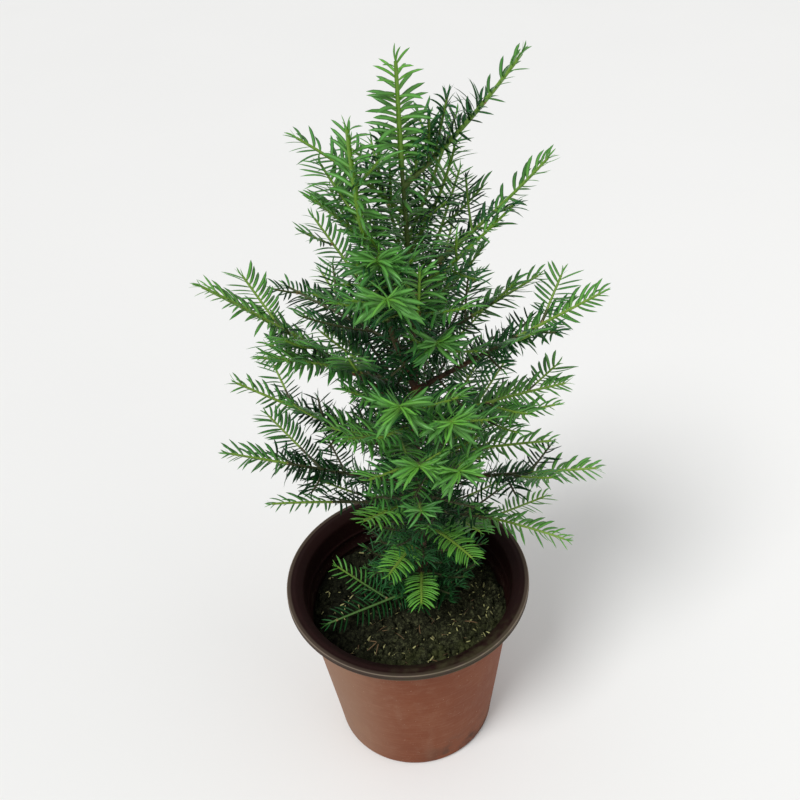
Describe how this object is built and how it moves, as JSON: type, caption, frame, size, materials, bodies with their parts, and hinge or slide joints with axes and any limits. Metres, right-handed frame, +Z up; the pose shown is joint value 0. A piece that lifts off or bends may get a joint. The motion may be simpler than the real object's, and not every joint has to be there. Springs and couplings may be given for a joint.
{
  "type": "potted chinese yew",
  "caption": "Young Chinese yew with feathery needle shoots on a slim upright trunk, growing in a round tapered plastic nursery pot filled with soil.",
  "frame": {"origin": "centre of the pot's flat underside", "axes": "+Z up along the pot's axis, -Y towards the front from which the plant is seen, +X to its right"},
  "size_m": [0.253, 0.2095, 0.5389],
  "materials": {
    "pot_plastic": "matte terracotta brown plastic, dusty, with a darker rim and inside",
    "potting_soil": "dark crumbly soil with pale husks",
    "bark": "thin flaking brown bark",
    "needles": "satin dark green needles, with green young stems",
    "young_needles": "soft bright green new growth"
  },
  "bodies": {
    "root": {"pot": "pot_plastic", "soil": "potting_soil", "trunk": "bark", "bough_01": "bark", "bough_02": "bark", "bough_03": "bark", "bough_04": "bark", "bough_05": "bark", "bough_06": "bark", "bough_07": "bark", "bough_08": "bark", "foliage_01": "needles", "foliage_02": "needles", "foliage_03": "needles", "foliage_04": "needles", "foliage_05": "needles", "foliage_06": "needles", "foliage_07": "needles", "foliage_08": "needles", "foliage_09": "needles", "foliage_10": "needles", "foliage_11": "needles", "foliage_12": "needles", "foliage_13": "needles", "foliage_14": "needles", "foliage_15": "needles", "foliage_16": "needles", "foliage_17": "needles", "foliage_18": "needles", "foliage_19": "needles", "foliage_20": "needles", "foliage_21": "needles", "foliage_22": "needles", "foliage_23": "needles", "foliage_24": "needles", "foliage_25": "needles", "foliage_26": "needles", "foliage_27": "young_needles", "foliage_28": "young_needles", "foliage_29": "needles", "foliage_30": "young_needles", "foliage_31": "young_needles", "foliage_32": "young_needles", "foliage_33": "young_needles", "foliage_34": "young_needles", "foliage_35": "needles", "foliage_36": "needles", "foliage_37": "needles", "foliage_38": "needles", "foliage_39": "needles", "foliage_40": "needles", "foliage_41": "needles", "foliage_42": "needles", "foliage_43": "needles", "foliage_44": "needles", "foliage_45": "needles", "foliage_46": "needles", "foliage_47": "needles", "foliage_48": "needles", "foliage_leader": "needles"}
  },
  "joints": []
}
